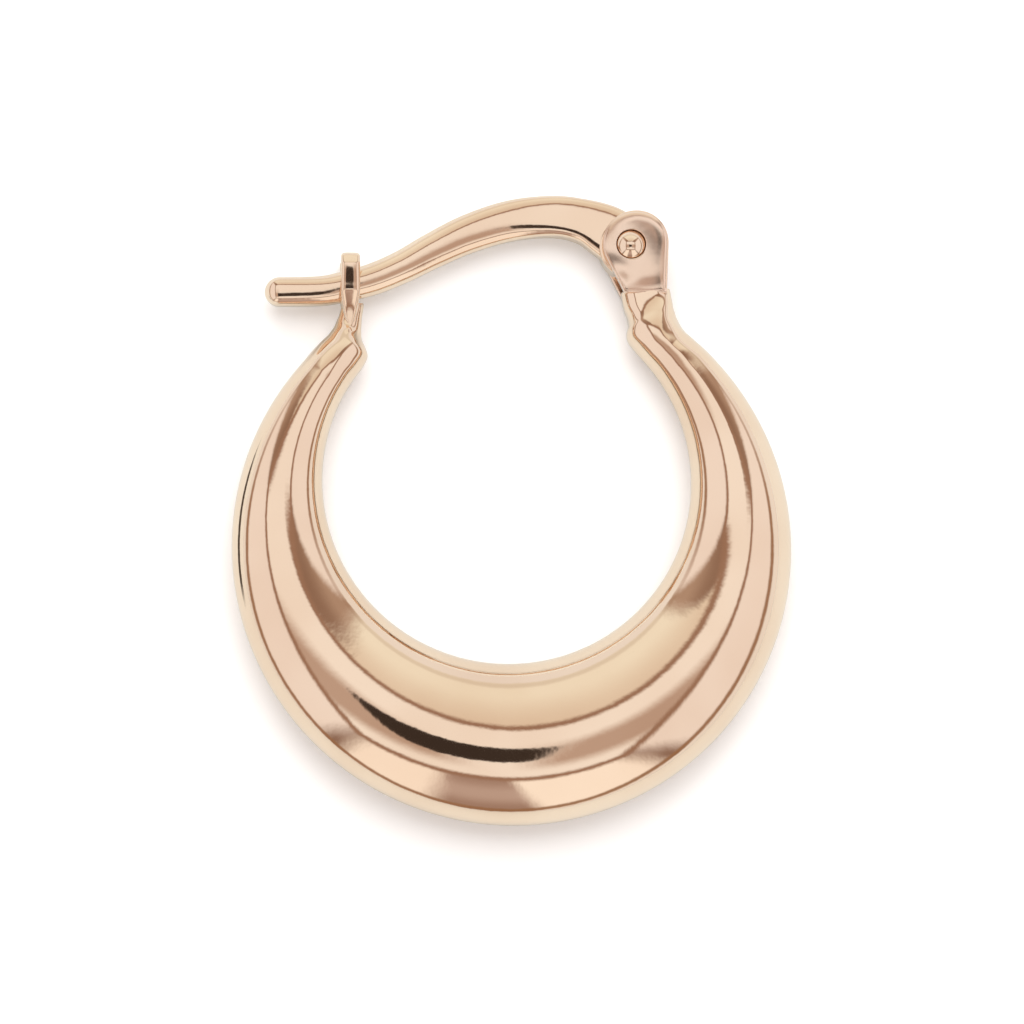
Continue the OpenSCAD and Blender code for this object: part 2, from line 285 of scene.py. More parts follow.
steep = calc(sky, "DIVIDE", calc(sky, "MULTIPLY_ADD", ahead, FLAP_TILT, upward), wide)
flap = calc(sky, "MULTIPLY", fade(sky, steep, *FLAP_LOW), fade(sky, roof, *FLAP_HIGH))
flap = calc(sky, "MULTIPLY", flap, fade(sky, slope_y, *FLAP_UPWARD))
flap_cloth = blend_colours(sky, fade(sky, ahead, *FLAP_NEARNESS), FLAP_FAR, FLAP_NEAR)
walls = blend_colours(sky, calc(sky, "MULTIPLY", flap, above), walls, flap_cloth)

corner = calc(sky, "ABSOLUTE", calc(sky, "SUBTRACT", size_x, size_y))
corner = calc(sky, "DIVIDE", corner, side)
corner_mask = calc(sky, "MULTIPLY", fade(sky, corner, CORNER_WIDTH, 0.0), below)
corner_near = fade(sky, ahead, *CORNER_NEARNESS)
corner_depth = calc(sky, "MULTIPLY_ADD", corner_near, 1 - CORNER_LEAST, CORNER_LEAST)
walls = blend_colours(sky, calc(sky, "MULTIPLY", corner_mask, corner_depth), walls, CORNER_SEAM)
print("nodes with flaps and seams:", len(sky.nodes))

# %% [markdown]
# The front wall faces the ring. The camera looks in through a hole in its middle,
# so the metal shows a black patch there, and the camera's own body shades the
# cloth to both sides of the hole.

# %% Front wall and lens of the tent
FRONT_CLOTH = (1.0, 1.0, 1.0)
FRONT_SHADE = (0.56, 0.44, 0.38)
# Where the shade beside the lens begins and is full, across and upward
SHADE_TO_LEFT = (0.03, -0.12)
SHADE_TO_RIGHT = (0.08, 0.22)
SHADE_FROM_TOP = (0.29, 0.08)
SHADE_FROM_BOTTOM = (-0.34, -0.12)
FRONT_SEAM = (0.36, 0.23, 0.17)
SEAM_FADE = (0.17, 0.02)
LENS = (0.05, 0.038, 0.032)
LENS_MIDDLE = (-0.01, 0.02)
LENS_HALF = (0.168, 0.138)
LENS_POWER = 4
LENS_FADE = (1.5, 0.6)

to_front = calc(sky, "DIVIDE", calc(sky, "SUBTRACT", ahead, side), largest)
beside = calc(sky, "MAXIMUM", fade(sky, slope_x, *SHADE_TO_LEFT), fade(sky, slope_x, *SHADE_TO_RIGHT))
level = calc(sky, "MULTIPLY", fade(sky, slope_y, *SHADE_FROM_TOP), fade(sky, slope_y, *SHADE_FROM_BOTTOM))
front = blend_colours(sky, calc(sky, "MULTIPLY", beside, level), FRONT_CLOTH, FRONT_SHADE)
cloth = blend_colours(sky, fade(sky, to_front, -WALL_BLEND, WALL_BLEND), walls, front)
seam_mask = fade(sky, calc(sky, "ABSOLUTE", to_front), *SEAM_FADE)
cloth = blend_colours(sky, seam_mask, cloth, FRONT_SEAM)

lens_parts = []
for slope, middle_at, half_size in zip((slope_x, slope_y), LENS_MIDDLE, LENS_HALF):
    part = calc(sky, "DIVIDE", calc(sky, "SUBTRACT", slope, middle_at), half_size)
    lens_parts.append(calc(sky, "POWER", calc(sky, "ABSOLUTE", part), LENS_POWER))
lens_mask = fade(sky, calc(sky, "ADD", *lens_parts), *LENS_FADE)
lens_mask = calc(sky, "MULTIPLY", lens_mask, fade(sky, ahead, 0.0, 0.1))
cloth = blend_colours(sky, lens_mask, cloth, LENS)
print("lens, half width and half height as slopes:", LENS_HALF)

# %% [markdown]
# Low down, where the tent stands on the surface, its rim is a dark line, and the
# light below it is that of the surface. The camera itself looks past the metal
# at plain white paper, so its own rays get that instead of the tent.

# %% Rim of the tent and white paper
RIM = (0.34, 0.20, 0.12)
RIM_AHEAD = 0.19
RIM_FADE = (0.10, 0.02)
RIM_DEPTH = 0.95
# The rim is fainter on the far side, above the ring
RIM_LOSS = 0.7
RIM_LOSS_UPWARD = (0.5, 1.5)
SURFACE_LIGHT = (0.93, 0.95, 0.97)
SURFACE_AHEAD = (0.15, 0.10)
PAPER = (1.0, 1.0, 1.0)

rim_off = calc(sky, "ABSOLUTE", calc(sky, "SUBTRACT", ahead, RIM_AHEAD))
rim_loss = calc(sky, "MULTIPLY", fade(sky, box_y, *RIM_LOSS_UPWARD), RIM_LOSS)
rim_mask = calc(sky, "MULTIPLY", fade(sky, rim_off, *RIM_FADE), calc(sky, "SUBTRACT", RIM_DEPTH, rim_loss))
cloth = blend_colours(sky, fade(sky, ahead, *SURFACE_AHEAD), cloth, SURFACE_LIGHT)
cloth = blend_colours(sky, rim_mask, cloth, RIM)

seen = add_node(sky, "ShaderNodeLightPath").outputs["Is Camera Ray"]
glow = add_node(sky, "ShaderNodeBackground")
join(sky, blend_colours(sky, seen, cloth, PAPER), glow.inputs["Color"])
sky_end = add_node(sky, "ShaderNodeOutputWorld")
sky.links.new(glow.outputs[0], sky_end.inputs["Surface"])
bpy.context.scene.view_settings.view_transform = "Standard"
print("tent nodes:", len(sky.nodes))

# %% [markdown]
# The earring rests on a smooth white surface. For the metal's rays its white is
# darkened by painted shade, which stands for the shade of the tent's walls on it. A
# dark patch is painted on it to the left of the ring, for the metal's rays only.
# It is a painted reflection: the thin dark line along the hoop's left edge.

# %% Surface
FLOOR_HALF = 2.0
FLOOR_SIGNS = ((-1, -1), (1, -1), (1, 1), (-1, 1))
WHITE_TO_CAMERA = (1.0, 1.0, 1.0)
WHITE_WITH_PAINTED_SHADE = (0.80, 0.88, 0.90)
FLOOR_GLOW = 0.10
DARK_REFLECTION_TONE = (0.03, 0.02, 0.015)
# Middle, half size and soft edge of the painted dark patch, in metres along x and y
DARK_REFLECTION_MIDDLE = (-0.0163, 0.001)
DARK_REFLECTION_HALF = (0.0018, 0.0035)
DARK_REFLECTION_SOFT = (0.0004, 0.002)


def new_material(name):
    made = bpy.data.materials.new(name)
    made.use_nodes = True
    return made, made.node_tree, made.node_tree.nodes["Principled BSDF"]


def new_object(name, mesh):
    made = bpy.data.objects.new(name, mesh)
    bpy.context.scene.collection.objects.link(made)
    return made


floor_mesh = bpy.data.meshes.new("surface")
floor_corners = [(x * FLOOR_HALF, y * FLOOR_HALF, 0) for x, y in FLOOR_SIGNS]
floor_mesh.from_pydata(floor_corners, [], [(0, 1, 2, 3)])
floor = new_object("surface", floor_mesh)

floor_paint, floor_tree, floor_shader = new_material("white_surface")
paths = add_node(floor_tree, "ShaderNodeLightPath")
in_metal = paths.outputs["Is Glossy Ray"]
floor_spot = add_node(floor_tree, "ShaderNodeSeparateXYZ")
floor_place = add_node(floor_tree, "ShaderNodeTexCoord").outputs["Object"]
join(floor_tree, floor_place, floor_spot.inputs[0])
# A dark patch painted on the surface for the metal's rays only: a painted reflection that draws the thin
# dark line along the hoop's left edge.
dark_reflection = in_metal
for axis, middle_at, half_size, soft in zip("XY", DARK_REFLECTION_MIDDLE, DARK_REFLECTION_HALF, DARK_REFLECTION_SOFT):
    off = calc(floor_tree, "SUBTRACT", floor_spot.outputs[axis], middle_at)
    inside = fade(floor_tree, calc(floor_tree, "ABSOLUTE", off), half_size + soft, half_size)
    dark_reflection = calc(floor_tree, "MULTIPLY", dark_reflection, inside)
# For the metal's rays the white is darker: painted shade, for the shade that the tent's walls cast on the
# surface.
floor_tone = blend_colours(floor_tree, in_metal, WHITE_TO_CAMERA, WHITE_WITH_PAINTED_SHADE)
floor_tone = blend_colours(floor_tree, dark_reflection, floor_tone, DARK_REFLECTION_TONE)
join(floor_tree, floor_tone, floor_shader.inputs["Base Color"])
floor_shader.inputs["Emission Color"].default_value = (1, 1, 1, 1)
floor_glow = calc(floor_tree, "MULTIPLY", paths.outputs["Is Camera Ray"], FLOOR_GLOW)
join(floor_tree, floor_glow, floor_shader.inputs["Emission Strength"])
floor_shader.inputs["Roughness"].default_value = 0.5
floor_shader.inputs["Specular IOR Level"].default_value = 0.2
floor_mesh.materials.append(floor_paint)
print("surface width in metres:", 2 * FLOOR_HALF)

# %% [markdown]
# A wide soft lamp above the ring whitens the surface and gives the faint shadow
# that seats the ring on it. The lamp is left out of mirror reflections, because
# the tent already shows what the metal sees.

# %% Soft lamp
LAMP_PLACE = Vector((0, 0.20, 0.45))
LAMP_SIZE = 0.4
LAMP_POWER = 1.5

lamp_data = bpy.data.lights.new("soft_lamp", "AREA")
lamp_data.size = LAMP_SIZE
lamp_data.energy = LAMP_POWER
lamp = bpy.data.objects.new("soft_lamp", lamp_data)
bpy.context.scene.collection.objects.link(lamp)
lamp.location = LAMP_PLACE
lamp.rotation_euler = (-LAMP_PLACE).to_track_quat("-Z", "Y").to_euler()
lamp.visible_glossy = False
print("lamp power in watts:", LAMP_POWER)

# %% [markdown]
# Rose gold is gold with copper in it. Its colour sits in the shader's base
# colour, because a metal tints what it reflects. Real polished metal is never a
# perfect mirror: the buffing wheel leaves faint lines and slow waves, and the
# tone drifts a little from place to place. One group makes those marks for every
# finish, so that all of them look like the same alloy.

# %% Group for polishing marks
ROSE_GOLD = (0.905, 0.70, 0.533)
# How much the tone's three channels may darken
DARKER_TONE = (0.95, 0.92, 0.90)
TONE_DRIFT = (0.35, 0.70)
SLOW_SCALE = 260
RIPPLE_SCALE = 2600
RIPPLE_SHARE = 0.5
LINE_SCALE = 9000
LINE_STRETCH = (1, 0.25, 1)
WAVE_HEIGHT = 0.00004


def group_socket(group, name, way, kind, value=None, low=None, high=None):
    socket = group.interface.new_socket(name, in_out=way, socket_type="NodeSocket" + kind)
    if value is not None:
        socket.default_value = value
    if low is not None:
        socket.min_value = low
        socket.max_value = high
    return socket


marks = bpy.data.node_groups.new("polishing_marks", "ShaderNodeTree")
group_socket(marks, "Place", "INPUT", "Vector")
group_socket(marks, "Tone", "INPUT", "Color", (*ROSE_GOLD, 1))
group_socket(marks, "Shine", "INPUT", "Float", 0.06, 0, 1)
group_socket(marks, "Scratches", "INPUT", "Float", 0.02, 0, 1)
group_socket(marks, "Waves", "INPUT", "Float", 0.1, 0, 1)
group_socket(marks, "Color", "OUTPUT", "Color")
group_socket(marks, "Roughness", "OUTPUT", "Float")
group_socket(marks, "Normal", "OUTPUT", "Vector")
marks_in = add_node(marks, "NodeGroupInput")
marks_out = add_node(marks, "NodeGroupOutput")


def noise(tree, place, scale, detail, stretch=(1, 1, 1)):
    stretched = vector_calc(tree, "MULTIPLY", place, stretch)
    node = add_node(tree, "ShaderNodeTexNoise")
    join(tree, stretched, node.inputs["Vector"])
    node.inputs["Scale"].default_value = scale
    node.inputs["Detail"].default_value = detail
    return node.outputs["Fac"]


place_in = marks_in.outputs["Place"]
tone_in = marks_in.outputs["Tone"]
slow = noise(marks, place_in, SLOW_SCALE, 2)
fine = noise(marks, place_in, LINE_SCALE, 3, LINE_STRETCH)
ripple = noise(marks, place_in, RIPPLE_SCALE, 2)
darker = vector_calc(marks, "MULTIPLY", tone_in, DARKER_TONE)
tone = blend_colours(marks, fade(marks, slow, *TONE_DRIFT), darker, tone_in)
join(marks, tone, marks_out.inputs["Color"])
rub = calc(marks, "MULTIPLY", calc(marks, "SUBTRACT", fine, 0.5), marks_in.outputs["Scratches"])
join(marks, calc(marks, "ADD", marks_in.outputs["Shine"], rub), marks_out.inputs["Roughness"])
wave_bump = add_node(marks, "ShaderNodeBump")
wave_bump.inputs["Distance"].default_value = WAVE_HEIGHT
join(marks, calc(marks, "MULTIPLY_ADD", ripple, RIPPLE_SHARE, slow), wave_bump.inputs["Height"])
join(marks, marks_in.outputs["Waves"], wave_bump.inputs["Strength"])
join(marks, wave_bump.outputs["Normal"], marks_out.inputs["Normal"])
print("marks group sockets:", len(marks.interface.items_tree))

# %% [markdown]
# The same alloy shows four finishes. The tube is buffed to a mirror, and the ear
# wire, the fork and the rivet nearly so. The hinge plates are stamped and only
# tumbled, so they look softer. The saddle between the plates is rough, and its
# dark colour is painted shade, for the shadow in the gap between the plates.

# %% Rose gold finishes
def rose_gold(name, shine, scratches, waves, tone=ROSE_GOLD):
    made, tree, shader = new_material(name)
    place = add_node(tree, "ShaderNodeTexCoord").outputs["Object"]
    use = add_node(tree, "ShaderNodeGroup", node_tree=marks)
    join(tree, place, use.inputs["Place"])
    use.inputs["Tone"].default_value = (*tone, 1)
    use.inputs["Shine"].default_value = shine
    use.inputs["Scratches"].default_value = scratches
    use.inputs["Waves"].default_value = waves
    join(tree, use.outputs["Color"], shader.inputs["Base Color"])
    join(tree, use.outputs["Roughness"], shader.inputs["Roughness"])
    join(tree, use.outputs["Normal"], shader.inputs["Normal"])
    shader.inputs["Metallic"].default_value = 1
    return made


mirror_gold = rose_gold("mirror_rose_gold", 0.05, 0.03, 0.10)
wire_gold = rose_gold("wire_rose_gold", 0.08, 0.05, 0.15)
plate_gold = rose_gold("tumbled_rose_gold", 0.20, 0.05, 0.12, (0.91, 0.70, 0.56))
# The saddle's dark tone is painted shade, for the shadow in the narrow gap between the hinge plates.
saddle_shade_gold = rose_gold("saddle_gold_painted_shade", 0.40, 0.15, 0.40, (0.34, 0.20, 0.12))
print("finishes:", [m.name for m in bpy.data.materials if "gold" in m.name])

# %% [markdown]
# The tube's shape follows a rule. Its outside runs along one circle and its
# inside along a smaller one that sits higher, so the tube is fat at the bottom
# and thin at the ends. A spine of stations holds, for each place along the tube,
# its inner edge, its outer edge and half its depth. The tree below lofts a skin
# over any such spine, and the ear wire uses it again.

# %% Loft tree
def field(tree, geometry, name, kind, index):
    """The value of a named attribute of the spine, at a station's number"""
    read = add_node(tree, "GeometryNodeInputNamedAttribute", data_type=kind)
    read.inputs["Name"].default_value = name
    pick = add_node(tree, "GeometryNodeSampleIndex", data_type=kind, domain="POINT")
    join(tree, geometry, pick.inputs["Geometry"])
    join(tree, read.outputs["Attribute"], pick.inputs["Value"])
    join(tree, index, pick.inputs["Index"])
    return pick.outputs["Value"]


loft = bpy.data.node_groups.new("loft_between_edges", "GeometryNodeTree")
loft.is_modifier = True
group_socket(loft, "Spine", "INPUT", "Geometry")
sides_socket = group_socket(loft, "Sides", "INPUT", "Int", 96, 8, 256)
square_socket = group_socket(loft, "Squareness", "INPUT", "Float", 2.0, 1.5, 8)
finish_socket = group_socket(loft, "Finish", "INPUT", "Material")
group_socket(loft, "Skin", "OUTPUT", "Geometry")
loft_in = add_node(loft, "NodeGroupInput")
loft_out = add_node(loft, "NodeGroupOutput")
spine_in = loft_in.outputs["Spine"]

counted = add_node(loft, "GeometryNodeAttributeDomainSize")
join(loft, spine_in, counted.inputs["Geometry"])
round_count = calc(loft, "ADD", loft_in.outputs["Sides"], 1)
sheet = add_node(loft, "GeometryNodeMeshGrid")
join(loft, counted.outputs["Point Count"], sheet.inputs["Vertices X"])
join(loft, round_count, sheet.inputs["Vertices Y"])

number = add_node(loft, "GeometryNodeInputIndex").outputs["Index"]
station = calc(loft, "FLOOR", calc(loft, "DIVIDE", calc(loft, "ADD", number, 0.5), round_count))
step = calc(loft, "SUBTRACT", number, calc(loft, "MULTIPLY", station, round_count))
angle = calc(loft, "MULTIPLY", calc(loft, "DIVIDE", step, loft_in.outputs["Sides"]), 2 * pi)
inner = field(loft, spine_in, "inner", "FLOAT_VECTOR", station)
outer = field(loft, spine_in, "outer", "FLOAT_VECTOR", station)
deep = field(loft, spine_in, "deep", "FLOAT_VECTOR", station)
crest = field(loft, spine_in, "crest", "FLOAT", station)
full = field(loft, spine_in, "full", "FLOAT", station)
pinch = field(loft, spine_in, "pinch", "FLOAT", station)

flat_cos = calc(loft, "COSINE", angle)
flat_sin = calc(loft, "SINE", angle)
bend = calc(loft, "SUBTRACT", loft_in.outputs["Squareness"], pinch)
powers = [calc(loft, "POWER", calc(loft, "ABSOLUTE", part), bend) for part in (flat_cos, flat_sin)]
root = calc(loft, "DIVIDE", 1.0, bend)
reach = calc(loft, "POWER", calc(loft, "ADD", *powers), root)
round_part = calc(loft, "DIVIDE", flat_cos, reach)
deep_part = calc(loft, "DIVIDE", flat_sin, reach)

# The crest may sit nearer the outer edge, and the outer side may be fuller
square = calc(loft, "MULTIPLY", round_part, round_part)
room = calc(loft, "SUBTRACT", 1.0, square)
outside = calc(loft, "MAXIMUM", round_part, 0.0)
fuller = calc(loft, "MULTIPLY", calc(loft, "MULTIPLY", outside, outside), calc(loft, "MULTIPLY", full, 4.0))
out_part = calc(loft, "MULTIPLY_ADD", room, calc(loft, "ADD", crest, fuller), round_part)

middle = vector_calc(loft, "SCALE", vector_calc(loft, "ADD", inner, outer), scale=0.5)
half = vector_calc(loft, "SCALE", vector_calc(loft, "SUBTRACT", outer, inner), scale=0.5)
placed = vector_calc(loft, "ADD", middle, vector_calc(loft, "SCALE", half, scale=out_part))
placed = vector_calc(loft, "ADD", placed, vector_calc(loft, "SCALE", deep, scale=deep_part))

shape = add_node(loft, "GeometryNodeSetPosition")
join(loft, sheet.outputs["Mesh"], shape.inputs["Geometry"])
join(loft, placed, shape.inputs["Position"])
closed = add_node(loft, "GeometryNodeMergeByDistance")
join(loft, shape.outputs[0], closed.inputs["Geometry"])
closed.inputs["Distance"].default_value = 0.00001
smooth = add_node(loft, "GeometryNodeSetShadeSmooth")
join(loft, closed.outputs[0], smooth.inputs["Geometry"])
real = add_node(loft, "GeometryNodeRealizeInstances")
join(loft, smooth.outputs[0], real.inputs["Geometry"])
dressed = add_node(loft, "GeometryNodeSetMaterial")
join(loft, real.outputs[0], dressed.inputs["Geometry"])
join(loft, loft_in.outputs["Finish"], dressed.inputs["Material"])
join(loft, dressed.outputs[0], loft_out.inputs["Skin"])
print("loft nodes:", len(loft.nodes))

# %% [markdown]
# A modifier is only a recipe. Asking Blender for the evaluated object and making
# a mesh from it bakes the recipe into plain faces. The helper then merges what
# coincides, turns every face outwards, and moves the shape from the hoop's plane
# into the frame.

# %% Bake a tree into a piece
def tidy_mesh(mesh, merge=0.0001):
    work = bmesh.new()
    work.from_mesh(mesh)
    bmesh.ops.remove_doubles(work, verts=work.verts, dist=merge)
    bmesh.ops.dissolve_degenerate(work, edges=work.edges, dist=merge / 10)
    bmesh.ops.recalc_face_normals(work, faces=work.faces)
    work.to_mesh(mesh)
    work.free()


def bake(name, source, tree, inputs):
    holder = new_object(name + "_recipe", source)
    recipe = holder.modifiers.new("recipe", "NODES")
    recipe.node_group = tree
    for socket, value in inputs:
        recipe[socket.identifier] = value
    ready = holder.evaluated_get(bpy.context.evaluated_depsgraph_get())
    mesh = bpy.data.meshes.new_from_object(ready)
    bpy.data.objects.remove(holder)
    mesh.name = name
    finish = [material for material in mesh.materials if material][0]
    mesh.materials.clear()
    mesh.materials.append(finish)
    for polygon in mesh.polygons:
        polygon.material_index = 0
    tidy_mesh(mesh)
    return mesh


def in_frame(name, mesh):
    mesh.transform(to_frame)
    return new_object(name, mesh)


def spine_mesh(name, stations, shifts=None):
    """Each station is its inner edge, its outer edge and its half depth as a vector"""
    mesh = bpy.data.meshes.new(name)
    middles = [(inner + outer) / 2 for inner, outer, _ in stations]
    mesh.from_pydata(middles, [(i, i + 1) for i in range(len(stations) - 1)], [])
    for row, label in enumerate(("inner", "outer", "deep")):
        layer = mesh.attributes.new(label, "FLOAT_VECTOR", "POINT")
        for i, one in enumerate(stations):
            layer.data[i].vector = one[row]
    for row, label in enumerate(("crest", "full", "pinch")):
        layer = mesh.attributes.new(label, "FLOAT", "POINT")
        for i in range(len(stations)):
            layer.data[i].value = shifts[i][row] if shifts else 0.0
    return mesh


# %% [markdown]
# Now the crescent. A ray from the middle between the two circles' centres meets
# the inner circle and then the outer one. The two points are the tube's edges
# there, and where they are far apart the tube is deep too.

# %% Sections of the crescent
HOOP_OUTER_R = 9.33
HOOP_INNER_R = 6.15
INNER_CENTRE = Vector((-0.165, 2.21, 0))
OUTER_CENTRE = Vector((0, 0, 0))
BELLY_DEPTH = 3.50
END_DEPTH = 2.10
LEFT_END = radians(-126)
RIGHT_END = radians(136)
# Squareness of a section: 2 is an oval, and a higher value has flatter sides
OVAL = 2.0
mid_centre = (INNER_CENTRE + OUTER_CENTRE) / 2


def mix(a, b, t):
    return a + (b - a) * t


def ray_to(centre, radius, ray):
    off = centre - mid_centre
    along = off.dot(ray)
    return along + sqrt(radius ** 2 - off.dot(off) + along ** 2)


def edges_at(turn):
    ray = Vector((sin(turn), -cos(turn), 0))
    inner = mid_centre + ray * ray_to(INNER_CENTRE, HOOP_INNER_R, ray)
    outer = mid_centre + ray * ray_to(OUTER_CENTRE, HOOP_OUTER_R, ray)
    return inner, outer, (outer - inner).length / 2


belly_half_width = edges_at(0)[2]
end_half_width = edges_at(LEFT_END)[2]


def body_section(turn):
    inner, outer, half_width = edges_at(turn)
    fullness = (half_width - end_half_width) / (belly_half_width - end_half_width)
    return inner, outer, mix(END_DEPTH, BELLY_DEPTH, fullness) / 2


print("width of the belly in mm:", round(2 * belly_half_width, 2))

# %% [markdown]
# A neck leaves each end of the crescent and turns up to meet its fitting. The
# maker draws each one out of the tube and files it, so no simple curve gives its
# outline. A few measured rows give its inner and outer edge, and a smooth curve
# through the rows gives all the stations between them.

# %% Necks
CATCH_NECK_HALF = 0.36
HINGE_NECK_HALF = 0.74
CATCH_NECK_SQUARE = 2.0
HINGE_NECK_SQUARE = 3.2
NECK_STEPS = 6
# Columns: x and y on the neck's inner edge, x and y on its outer edge
CATCH_NECK_ROWS = (
    (-5.59, 5.11, -7.02, 6.15),
    (-5.29, 5.60, -6.72, 6.52),
    (-5.00, 6.00, -6.42, 6.86),
    (-4.82, 6.38, -6.19, 7.08),
    (-4.88, 6.67, -6.04, 7.27),
    (-5.01, 6.95, -5.94, 7.42),
    (-5.04, 7.27, -5.86, 7.58),
    (-5.01, 7.68, -5.78, 7.78),
    (-4.96, 8.18, -5.72, 8.04),
)
HINGE_NECK_ROWS = (
    (4.66, 6.02, 5.86, 7.26),
    (4.40, 6.33, 5.67, 7.50),
    (4.09, 6.70, 5.56, 7.73),
    (3.90, 6.98, 5.49, 7.93),
    (3.86, 7.24, 5.43, 8.10),
    (3.91, 7.50, 5.40, 8.26),
    (3.87, 7.79, 5.37, 8.41),
    (3.74, 8.13, 5.34, 8.56),
    (3.67, 8.58, 5.31, 8.70),
)


def through(a, b, c, d, t):
    """The smooth curve through four values, between the middle two"""
    bend = 2 * a - 5 * b + 4 * c - d
    twist = 3 * b - a - 3 * c + d
    return 0.5 * (2 * b + (c - a) * t + bend * t ** 2 + twist * t ** 3)


def smooth_rows(rows, steps):
    """Rows of a table, with new rows set smoothly between them"""
    last = len(rows) - 1
    made = []
    for i in range(last):
        near = [rows[min(max(i + k, 0), last)] for k in (-1, 0, 1, 2)]
        for k in range(steps):
            made.append([through(*values, k / steps) for values in zip(*near)])
    return made + [list(rows[-1])]


def neck_sections(end, table, top_half, top_square):
    """Sections of a neck with their squareness, from the crescent's end to its fitting"""
    start = body_section(end)
    rows = smooth_rows(table, NECK_STEPS)
    inner_shift = start[0] - Vector((*table[0][:2], 0))
    outer_shift = start[1] - Vector((*table[0][2:], 0))
    made = []
    for i, row in enumerate(rows[1:], 1):
        t = i / (len(rows) - 1)
        share = t * t * (3 - 2 * t)
        inner = Vector((row[0], row[1], 0)) + inner_shift * (1 - t)
        outer = Vector((row[2], row[3], 0)) + outer_shift * (1 - t)
        made.append((inner, outer, mix(start[2], top_half, share), mix(OVAL, top_square, share)))
    return made


catch_neck = neck_sections(LEFT_END, CATCH_NECK_ROWS, CATCH_NECK_HALF, CATCH_NECK_SQUARE)
hinge_neck = neck_sections(RIGHT_END, HINGE_NECK_ROWS, HINGE_NECK_HALF, HINGE_NECK_SQUARE)
print("stations of the necks:", len(catch_neck), len(hinge_neck))

# %% [markdown]
# A tube rolled from sheet isn't a perfect oval. Its crest sits a little off the
# middle and its outer side is a little fuller, and small shifts of that kind
# decide where the tent's seams show in the metal. The stations of the necks and
# the body make one spine, and the loft tree gives it its skin.

# %% Skin of the tube
BODY_STATIONS = 340
TUBE_SIDES = 144
# Rows: crest, fullness and pinch of the section. Columns: at the left, the bottom, the right
TUBE_SHIFTS = (
    (0.008, 0.051, 0.039),
    (-0.024, -0.004, -0.030),
    (0.0, 0.085, 0.142),
)


def capped(sections):
    """Adds a station of no size at each end, so that the skin closes there"""
    rows = [(section[0], section[1], Vector((0, 0, section[2]))) for section in sections]
    shut = [((a + b) / 2, (a + b) / 2, Vector((0, 0, 0))) for a, b, _ in (rows[0], rows[-1])]
    return [shut[0], *rows, shut[1]]


def tube_shift(section):
    """Where the crest sits, how full the outer side is and how pinched the section is"""
    place = (section[0] + section[1]) / 2 - mid_centre
    turn = atan2(place.x, -place.y)
    shares = (max(-sin(turn), 0), 1 - abs(sin(turn)), max(sin(turn), 0))
    shift = [sum(share * value for share, value in zip(shares, row)) for row in TUBE_SHIFTS]
    shift[2] -= section[3] - OVAL
    return shift


body_turns = [mix(LEFT_END, RIGHT_END, i / BODY_STATIONS) for i in range(BODY_STATIONS + 1)]
body = [(*body_section(turn), OVAL) for turn in body_turns]
hoop_sections = [*reversed(catch_neck), *body, *hinge_neck]
tube_shifts = [tube_shift(section) for section in (hoop_sections[0], *hoop_sections, hoop_sections[-1])]
tube_spine = spine_mesh("crescent_spine", capped(hoop_sections), tube_shifts)
tube_inputs = ((sides_socket, TUBE_SIDES), (square_socket, OVAL), (finish_socket, mirror_gold))
tube_mesh = bake("crescent_tube", tube_spine, loft, tube_inputs)
print("tube stations:", len(tube_spine.vertices), "faces:", len(tube_mesh.polygons))

# %% [markdown]
# The necks were filed by hand, so their surface is a little uneven, and a small
# dome of solder is left at the fork's foot. Both are too fine for rows of a
# table, so they move the finished skin along its normals.

# %% Filed necks and solder
FILED_FROM = 5.6
FILED_FULL = 7.4
FILED_DEPTH = 0.022
FILED_SCALE = 1.9
SOLDER_PLACE = Vector((-5.50, 7.22, 0))
SOLDER_R = 0.11
SOLDER_RISE = 0.045

moved = 0
filed_normals = [vertex.normal.copy() for vertex in tube_mesh.vertices]
for vertex, normal in zip(tube_mesh.vertices, filed_normals):
    place = vertex.co.copy()
    amount = min(max((place.y - FILED_FROM) / (FILED_FULL - FILED_FROM), 0), 1)
    if amount > 0:
        off = (place.xy - SOLDER_PLACE.xy).length / SOLDER_R
        dome = SOLDER_RISE * exp(-off ** 2) if place.z > 0 else 0
        vertex.co += normal * (FILED_DEPTH * amount * noise_at(place * FILED_SCALE) + dome)
        moved += 1
tube = in_frame("crescent_tube", tube_mesh)
print("points moved on the necks:", moved)

# %% [markdown]
# Two stamped plates hold the ear wire's knuckle between them. A plate is a round
# head whose edges run in straight lines down to its foot. The lines touch the
# round where they leave it, and a helper finds those two places.

# %% Outline of a hinge plate
PLATE_HEAD = Vector((PIN_X + 0.16, PIN_Y + 0.06, 0))
PLATE_HEAD_R = 1.10
PLATE_FOOT_LEFT = Vector((3.75, 8.50, 0))
PLATE_FOOT_RIGHT = Vector((5.18, 8.50, 0))
PLATE_T = 0.36
GAP_HALF = 0.49
HINGE_HALF = GAP_HALF + PLATE_T
HEAD_STEPS = 72
LINE_STEPS = 10
pin = Vector((PIN_X, PIN_Y, 0))


def tangent_turn(point, centre, radius, way):
    gap = point - centre
    return atan2(gap.y, gap.x) + way * acos(radius / gap.length)


def plate_outline():
    start = tangent_turn(PLATE_FOOT_RIGHT, PLATE_HEAD, PLATE_HEAD_R, 1)
    end = tangent_turn(PLATE_FOOT_LEFT, PLATE_HEAD, PLATE_HEAD_R, -1) + 2 * pi
    turns = [mix(start, end, i / HEAD_STEPS) for i in range(HEAD_STEPS + 1)]
    arc = [PLATE_HEAD + PLATE_HEAD_R * Vector((cos(a), sin(a), 0)) for a in turns]
    corners = (arc[-1], PLATE_FOOT_LEFT, PLATE_FOOT_RIGHT, arc[0])
    path = list(arc)
    for first, last in zip(corners, corners[1:]):
        path += [first.lerp(last, i / LINE_STEPS) for i in range(1, LINE_STEPS + 1)]
    return path[:-1]


